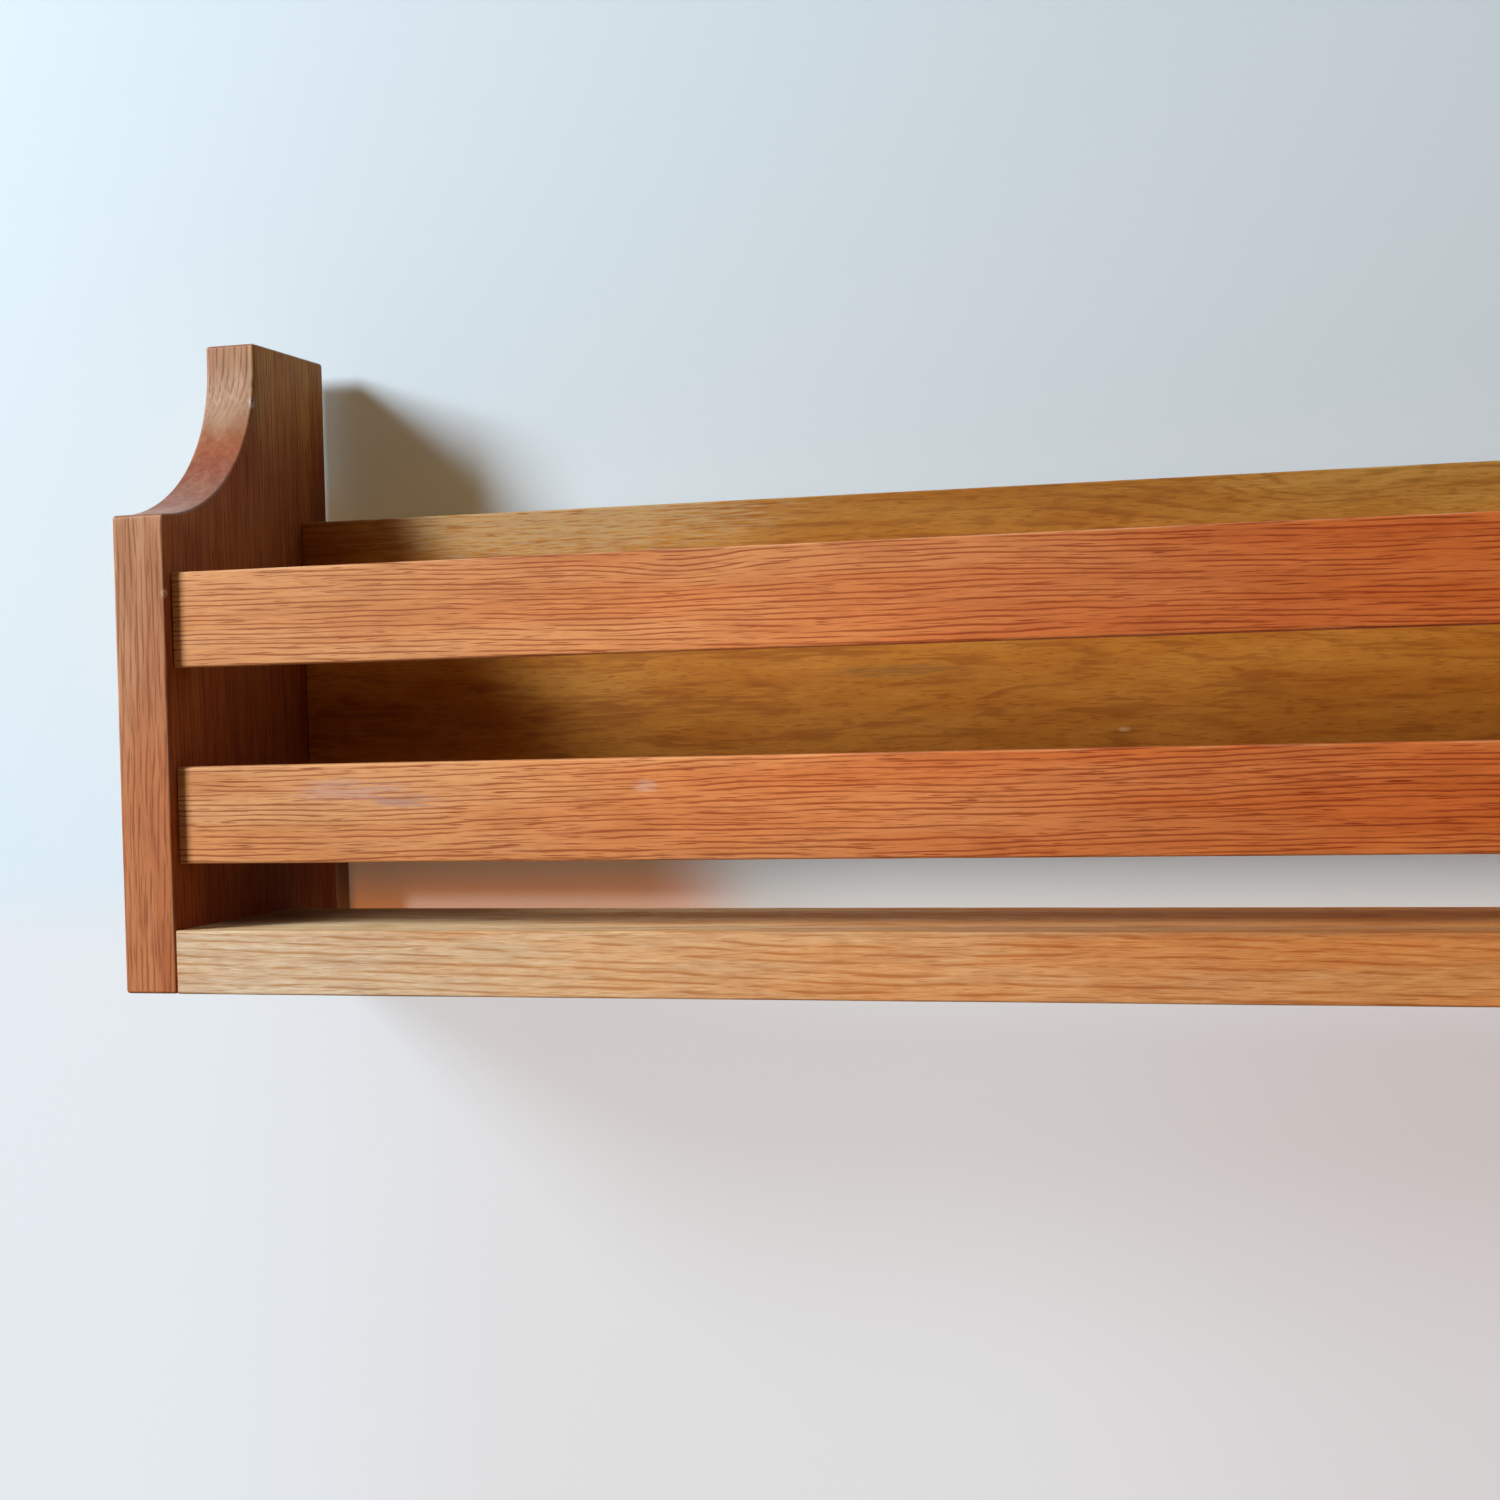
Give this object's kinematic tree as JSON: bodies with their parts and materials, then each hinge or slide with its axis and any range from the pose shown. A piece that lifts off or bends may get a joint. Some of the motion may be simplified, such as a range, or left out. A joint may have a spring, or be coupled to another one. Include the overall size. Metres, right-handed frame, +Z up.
{
  "type": "plate rack",
  "caption": "Wall-hung wooden plate rack with scooped end panels, a bottom shelf that plates stand on, a back board they lean against and front rails that hold them in.",
  "frame": {"origin": "on the underside, below the middle of the rack's length and depth", "axes": "+X along the rack, to the right seen from the front; +Y towards the wall; +Z up"},
  "size_m": [0.9, 0.125, 0.233],
  "materials": {
    "panel_oak": "satin varnished oak, reddish brown, grain upright",
    "shelf_oak": "satin varnished oak, pale tan, short flecked grain along the rack",
    "rail_oak": "satin varnished oak, orange red, straight open pores along the rack",
    "board_oak": "satin varnished oak, ochre brown, arched grain along the rack",
    "dowel_wood": "bare beech, glued",
    "hanger_steel": "zinc plated, dulled",
    "screw_steel": "zinc plated, dulled"
  },
  "bodies": {
    "root": {"left_end_panel": "panel_oak", "right_end_panel": "panel_oak", "shelf": "shelf_oak", "back_board": "board_oak", "upper_rail": "rail_oak", "lower_rail": "rail_oak", "left_shelf_dowel_front": "dowel_wood", "left_shelf_dowel_middle": "dowel_wood", "left_shelf_dowel_back": "dowel_wood", "left_back_board_dowel_lower": "dowel_wood", "left_back_board_dowel_middle": "dowel_wood", "left_back_board_dowel_upper": "dowel_wood", "left_upper_rail_dowel_lower": "dowel_wood", "left_upper_rail_dowel_upper": "dowel_wood", "left_lower_rail_dowel_lower": "dowel_wood", "left_lower_rail_dowel_upper": "dowel_wood", "right_shelf_dowel_front": "dowel_wood", "right_shelf_dowel_middle": "dowel_wood", "right_shelf_dowel_back": "dowel_wood", "right_back_board_dowel_lower": "dowel_wood", "right_back_board_dowel_middle": "dowel_wood", "right_back_board_dowel_upper": "dowel_wood", "right_upper_rail_dowel_lower": "dowel_wood", "right_upper_rail_dowel_upper": "dowel_wood", "right_lower_rail_dowel_lower": "dowel_wood", "right_lower_rail_dowel_upper": "dowel_wood", "left_hanger_plate": "hanger_steel", "right_hanger_plate": "hanger_steel", "left_hanger_screw_lower": "screw_steel", "left_hanger_screw_upper": "screw_steel", "right_hanger_screw_lower": "screw_steel", "right_hanger_screw_upper": "screw_steel"}
  },
  "joints": []
}
